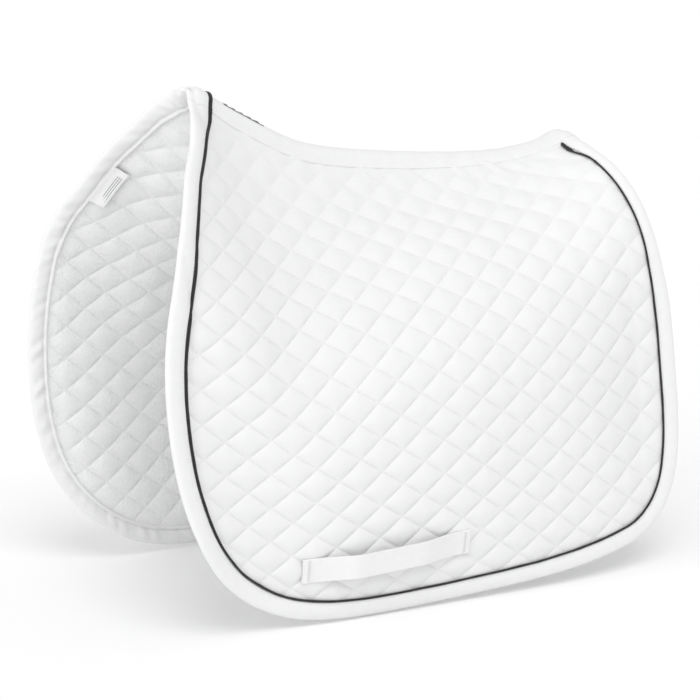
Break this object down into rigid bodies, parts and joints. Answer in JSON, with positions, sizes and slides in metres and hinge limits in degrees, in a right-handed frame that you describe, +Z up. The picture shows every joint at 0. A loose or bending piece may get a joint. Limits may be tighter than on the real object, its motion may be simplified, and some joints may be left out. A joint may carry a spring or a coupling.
{
  "type": "dressage saddle pad",
  "caption": "Quilted dressage saddle pad with bound and piped edges, a plain spine band, girth loops and flaps that fold at the spine.",
  "frame": {"origin": "under the middle of the spine, where the pad rests on the horse's back", "axes": "+Z up; -X towards the horse's head, so the withers are at the -X end; -Y is the horse's left (near) side"},
  "size_m": [0.7051, 0.434, 0.6124],
  "materials": {
    "cotton_cover": "white quilted cotton twill, matt",
    "padding_foam": "white needled polyester and foam padding",
    "terry_lining": "soft pale grey-white brushed terry lining",
    "binding_tape": "white woven binding tape, slight sheen",
    "piping_cord": "black woven piping over a cord",
    "webbing": "white ribbed webbing",
    "sewing_thread": "white polyester thread",
    "embroidery_thread": "dark satin-stitch embroidery thread",
    "label_satin": "white woven satin label"
  },
  "bodies": {
    "spine": {"spine_outer_band": "cotton_cover", "spine_padding": "padding_foam", "spine_seam_tape": "binding_tape", "front_crest_binding": "binding_tape", "rear_crest_binding": "binding_tape", "front_crest_piping": "piping_cord", "withers_emblem": "embroidery_thread"},
    "left_flap": {"left_outer_cover": "cotton_cover", "left_padding": "padding_foam", "left_lining": "terry_lining", "left_binding": "binding_tape", "left_piping": "piping_cord", "left_girth_loop": "webbing", "left_loop_tack_front": "sewing_thread", "left_loop_tack_rear": "sewing_thread"},
    "right_flap": {"right_outer_cover": "cotton_cover", "right_padding": "padding_foam", "right_lining": "terry_lining", "right_binding": "binding_tape", "right_piping": "piping_cord", "right_girth_loop": "webbing", "right_loop_tack_front": "sewing_thread", "right_loop_tack_rear": "sewing_thread", "care_label": "label_satin"}
  },
  "joints": [
    {"name": "left_fold", "type": "hinge", "parent": "spine", "child": "left_flap", "pos_m": [-0.209, -0.018, 0.086], "axis": [-0.9862, 0.0273, 0.1634], "range_deg": [-6, 70]},
    {"name": "right_fold", "type": "hinge", "parent": "spine", "child": "right_flap", "pos_m": [-0.209, 0.018, 0.086], "axis": [0.9862, 0.0273, -0.1634], "range_deg": [-6, 70]}
  ]
}
